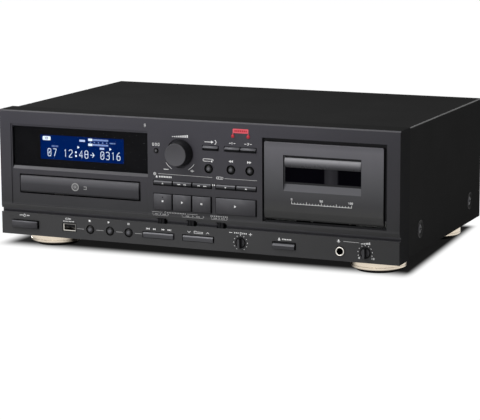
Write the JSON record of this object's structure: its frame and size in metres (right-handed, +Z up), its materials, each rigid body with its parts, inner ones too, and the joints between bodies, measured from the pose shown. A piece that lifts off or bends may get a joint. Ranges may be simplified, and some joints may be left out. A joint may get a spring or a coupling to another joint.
{
  "type": "cd cassette deck",
  "caption": "Rack-width hi-fi deck with a sliding disc tray, a front cassette door, push keys, rockers, slide switches and rotary knobs on four round feet.",
  "frame": {"origin": "middle of the bounding box at the surface that the feet stand on", "axes": "+Z up, the front panel faces -Y, +X to the right as seen from the front"},
  "size_m": [0.435, 0.2924, 0.145],
  "materials": {
    "panel_black": "fine matt",
    "cover_black": "fine textured paint",
    "plated_steel": "zinc plated",
    "screw_black": "black oxide",
    "foot_plating": "satin champagne",
    "smoked_window": "polished",
    "display_blue": "lit",
    "board_green": "solder mask",
    "core_steel": "laminated",
    "moulding_black": "plain",
    "bright_nickel": "bright",
    "tray_black": "fine matt",
    "white_moulding": "plain",
    "door_glass": "polished",
    "roller_rubber": "ground",
    "knob_black": "satin",
    "key_black": "satin"
  },
  "bodies": {
    "case": {"base_chassis": "plated_steel", "rear_panel": "cover_black", "top_cover": "cover_black", "front_panel": "panel_black", "display_window": "smoked_window", "display_module": "display_blue", "control_board": "board_green", "main_board": "board_green", "power_transformer": "core_steel", "mains_inlet": "moulding_black", "line_jacks": "moulding_black", "feet": "foot_plating", "case_screws": "screw_black", "usb_socket": "bright_nickel", "mic_jack": "bright_nickel", "cd_loader_frame": "moulding_black", "tape_chassis": "plated_steel", "tape_motor": "plated_steel"},
    "disc_tray": {"cd_tray": "tray_black", "cd_tray_fascia": "panel_black"},
    "pinion": {"loader_pinion": "white_moulding"},
    "turntable": {"cd_turntable": "moulding_black"},
    "sled": {"pickup_sled": "moulding_black"},
    "door": {"cassette_door": "panel_black", "door_window": "door_glass", "cassette_holder": "moulding_black"},
    "supply_reel": {"supply_spindle": "white_moulding"},
    "takeup_reel": {"takeup_spindle": "white_moulding"},
    "flywheel": {"capstan_flywheel": "plated_steel"},
    "pinch_arm": {"pinch_roller_arm": "roller_rubber"},
    "heads": {"head_block": "plated_steel"},
    "level_knob": {"rec_level_knob": "knob_black"},
    "pitch_dial": {"pitch_knob": "knob_black"},
    "mic_dial": {"mic_level_knob": "knob_black"},
    "cd_open_button_body": {"cd_open_button": "key_black"},
    "cd_skip_back_button_body": {"cd_skip_back_button": "key_black"},
    "cd_skip_forward_button_body": {"cd_skip_forward_button": "key_black"},
    "dubbing_button_body": {"dubbing_button": "key_black"},
    "tape_direction_button_body": {"tape_direction_button": "key_black"},
    "cd_stop_button_body": {"cd_stop_button": "key_black"},
    "cd_play_button_body": {"cd_play_button": "key_black"},
    "cd_pause_button_body": {"cd_pause_button": "key_black"},
    "tape_play_button_body": {"tape_play_button": "key_black"},
    "source_button_body": {"source_button": "key_black"},
    "record_usb_button_body": {"record_usb_button": "key_black"},
    "record_tape_button_body": {"record_tape_button": "key_black"},
    "repeat_button_body": {"repeat_button": "key_black"},
    "rewind_button_body": {"rewind_button": "key_black"},
    "fast_forward_button_body": {"fast_forward_button": "key_black"},
    "counter_reset_button_body": {"counter_reset_button": "key_black"},
    "usb_stop_button_body": {"usb_stop_button": "key_black"},
    "usb_play_button_body": {"usb_play_button": "key_black"},
    "usb_pause_button_body": {"usb_pause_button": "key_black"},
    "power_button_body": {"power_button": "key_black"},
    "eject_button_body": {"eject_button": "key_black"},
    "skip_rocker_body": {"skip_rocker": "key_black"},
    "folder_rocker_body": {"folder_rocker": "key_black"},
    "input_slide_switch_body": {"input_slide_switch": "knob_black"},
    "tape_slide_switch_body": {"tape_slide_switch": "knob_black"},
    "speed_slide_switch_body": {"speed_slide_switch": "knob_black"}
  },
  "joints": [
    {"name": "tray_slide", "type": "slide", "parent": "case", "child": "disc_tray", "axis": [0, -1, 0], "range_m": [0, 0.14]},
    {"name": "pinion_spin", "type": "hinge", "parent": "case", "child": "pinion", "pos_m": [-0.1712, -0.09475, 0.0615], "axis": [0, 0, 1], "range_deg": [0, 764]},
    {"name": "turntable_spin", "type": "hinge", "parent": "case", "child": "turntable", "pos_m": [-0.1262, -0.05975, 0.0555], "axis": [0, 0, 1], "continuous": true},
    {"name": "sled_slide", "type": "slide", "parent": "case", "child": "sled", "axis": [0, 1, 0], "range_m": [0, 0.033]},
    {"name": "door_hinge", "type": "hinge", "parent": "case", "child": "door", "pos_m": [0.1399, -0.12825, 0.0555], "axis": [1, 0, 0], "range_deg": [0, 28]},
    {"name": "supply_spin", "type": "hinge", "parent": "case", "child": "supply_reel", "pos_m": [0.11865, -0.11675, 0.0965], "axis": [0, 1, 0], "continuous": true},
    {"name": "takeup_spin", "type": "hinge", "parent": "case", "child": "takeup_reel", "pos_m": [0.16115, -0.11675, 0.0965], "axis": [0, 1, 0], "continuous": true},
    {"name": "flywheel_spin", "type": "hinge", "parent": "case", "child": "flywheel", "pos_m": [0.1719, -0.10675, 0.068], "axis": [0, 1, 0], "continuous": true},
    {"name": "pinch_swing", "type": "hinge", "parent": "case", "child": "pinch_arm", "pos_m": [0.187, -0.11775, 0.0565], "axis": [0, 1, 0], "range_deg": [0, 14.7], "stiffness_Nm_per_rad": 0.02, "springref_deg": -5.73},
    {"name": "head_slide", "type": "slide", "parent": "case", "child": "heads", "axis": [0, 0, 1], "range_m": [0, 0.005], "stiffness_N_per_m": 150, "springref_m": -0.002},
    {"name": "level_turn", "type": "hinge", "parent": "case", "child": "level_knob", "pos_m": [-0.0125, -0.13475, 0.1108], "axis": [0, 1, 0], "continuous": true},
    {"name": "pitch_turn", "type": "hinge", "parent": "case", "child": "pitch_dial", "pos_m": [0.0524, -0.13475, 0.0254], "axis": [0, 1, 0], "range_deg": [-150, 150]},
    {"name": "mic_turn", "type": "hinge", "parent": "case", "child": "mic_dial", "pos_m": [0.1827, -0.13475, 0.0254], "axis": [0, 1, 0], "range_deg": [-150, 150]},
    {"name": "cd_open_press", "type": "slide", "parent": "case", "child": "cd_open_button_body", "axis": [0, 1, 0], "range_m": [0, 0.0006], "stiffness_N_per_m": 1500, "springref_m": -0.0004},
    {"name": "cd_skip_back_press", "type": "slide", "parent": "case", "child": "cd_skip_back_button_body", "axis": [0, 1, 0], "range_m": [0, 0.0006], "stiffness_N_per_m": 1500, "springref_m": -0.0004},
    {"name": "cd_skip_forward_press", "type": "slide", "parent": "case", "child": "cd_skip_forward_button_body", "axis": [0, 1, 0], "range_m": [0, 0.0006], "stiffness_N_per_m": 1500, "springref_m": -0.0004},
    {"name": "dubbing_press", "type": "slide", "parent": "case", "child": "dubbing_button_body", "axis": [0, 1, 0], "range_m": [0, 0.0006], "stiffness_N_per_m": 1500, "springref_m": -0.0004},
    {"name": "tape_direction_press", "type": "slide", "parent": "case", "child": "tape_direction_button_body", "axis": [0, 1, 0], "range_m": [0, 0.0006], "stiffness_N_per_m": 1500, "springref_m": -0.0004},
    {"name": "cd_stop_press", "type": "slide", "parent": "case", "child": "cd_stop_button_body", "axis": [0, 1, 0], "range_m": [0, 0.0006], "stiffness_N_per_m": 1500, "springref_m": -0.0004},
    {"name": "cd_play_press", "type": "slide", "parent": "case", "child": "cd_play_button_body", "axis": [0, 1, 0], "range_m": [0, 0.0006], "stiffness_N_per_m": 1500, "springref_m": -0.0004},
    {"name": "cd_pause_press", "type": "slide", "parent": "case", "child": "cd_pause_button_body", "axis": [0, 1, 0], "range_m": [0, 0.0006], "stiffness_N_per_m": 1500, "springref_m": -0.0004},
    {"name": "tape_play_press", "type": "slide", "parent": "case", "child": "tape_play_button_body", "axis": [0, 1, 0], "range_m": [0, 0.0006], "stiffness_N_per_m": 1500, "springref_m": -0.0004},
    {"name": "source_press", "type": "slide", "parent": "case", "child": "source_button_body", "axis": [0, 1, 0], "range_m": [0, 0.0006], "stiffness_N_per_m": 1500, "springref_m": -0.0004},
    {"name": "record_usb_press", "type": "slide", "parent": "case", "child": "record_usb_button_body", "axis": [0, 1, 0], "range_m": [0, 0.0006], "stiffness_N_per_m": 1500, "springref_m": -0.0004},
    {"name": "record_tape_press", "type": "slide", "parent": "case", "child": "record_tape_button_body", "axis": [0, 1, 0], "range_m": [0, 0.0006], "stiffness_N_per_m": 1500, "springref_m": -0.0004},
    {"name": "repeat_press", "type": "slide", "parent": "case", "child": "repeat_button_body", "axis": [0, 1, 0], "range_m": [0, 0.0006], "stiffness_N_per_m": 1500, "springref_m": -0.0004},
    {"name": "rewind_press", "type": "slide", "parent": "case", "child": "rewind_button_body", "axis": [0, 1, 0], "range_m": [0, 0.0006], "stiffness_N_per_m": 1500, "springref_m": -0.0004},
    {"name": "fast_forward_press", "type": "slide", "parent": "case", "child": "fast_forward_button_body", "axis": [0, 1, 0], "range_m": [0, 0.0006], "stiffness_N_per_m": 1500, "springref_m": -0.0004},
    {"name": "counter_reset_press", "type": "slide", "parent": "case", "child": "counter_reset_button_body", "axis": [0, 1, 0], "range_m": [0, 0.0006], "stiffness_N_per_m": 1500, "springref_m": -0.0004},
    {"name": "usb_stop_press", "type": "slide", "parent": "case", "child": "usb_stop_button_body", "axis": [0, 1, 0], "range_m": [0, 0.0006], "stiffness_N_per_m": 1500, "springref_m": -0.0004},
    {"name": "usb_play_press", "type": "slide", "parent": "case", "child": "usb_play_button_body", "axis": [0, 1, 0], "range_m": [0, 0.0006], "stiffness_N_per_m": 1500, "springref_m": -0.0004},
    {"name": "usb_pause_press", "type": "slide", "parent": "case", "child": "usb_pause_button_body", "axis": [0, 1, 0], "range_m": [0, 0.0006], "stiffness_N_per_m": 1500, "springref_m": -0.0004},
    {"name": "power_press", "type": "slide", "parent": "case", "child": "power_button_body", "axis": [0, 1, 0], "range_m": [0, 0.003], "stiffness_N_per_m": 500, "springref_m": -0.001},
    {"name": "eject_press", "type": "slide", "parent": "case", "child": "eject_button_body", "axis": [0, 1, 0], "range_m": [0, 0.0015], "stiffness_N_per_m": 500, "springref_m": -0.001},
    {"name": "skip_tilt", "type": "hinge", "parent": "case", "child": "skip_rocker_body", "pos_m": [-0.0373, -0.12975, 0.026], "axis": [0, 0, 1], "range_deg": [-3, 3], "stiffness_Nm_per_rad": 0.2},
    {"name": "folder_tilt", "type": "hinge", "parent": "case", "child": "folder_rocker_body", "pos_m": [0.0066, -0.12975, 0.026], "axis": [0, 0, 1], "range_deg": [-3, 3], "stiffness_Nm_per_rad": 0.2},
    {"name": "input_select", "type": "slide", "parent": "case", "child": "input_slide_switch_body", "axis": [1, 0, 0], "range_m": [-0.0022, 0.0022]},
    {"name": "tape_select", "type": "slide", "parent": "case", "child": "tape_slide_switch_body", "axis": [1, 0, 0], "range_m": [-0.0022, 0.0022]},
    {"name": "speed_select", "type": "slide", "parent": "case", "child": "speed_slide_switch_body", "axis": [1, 0, 0], "range_m": [-0.0022, 0.0022]}
  ],
  "couplings": [
    {"joint": "pinion_spin", "follows": "tray_slide", "rad_per_m": 95.238}
  ]
}
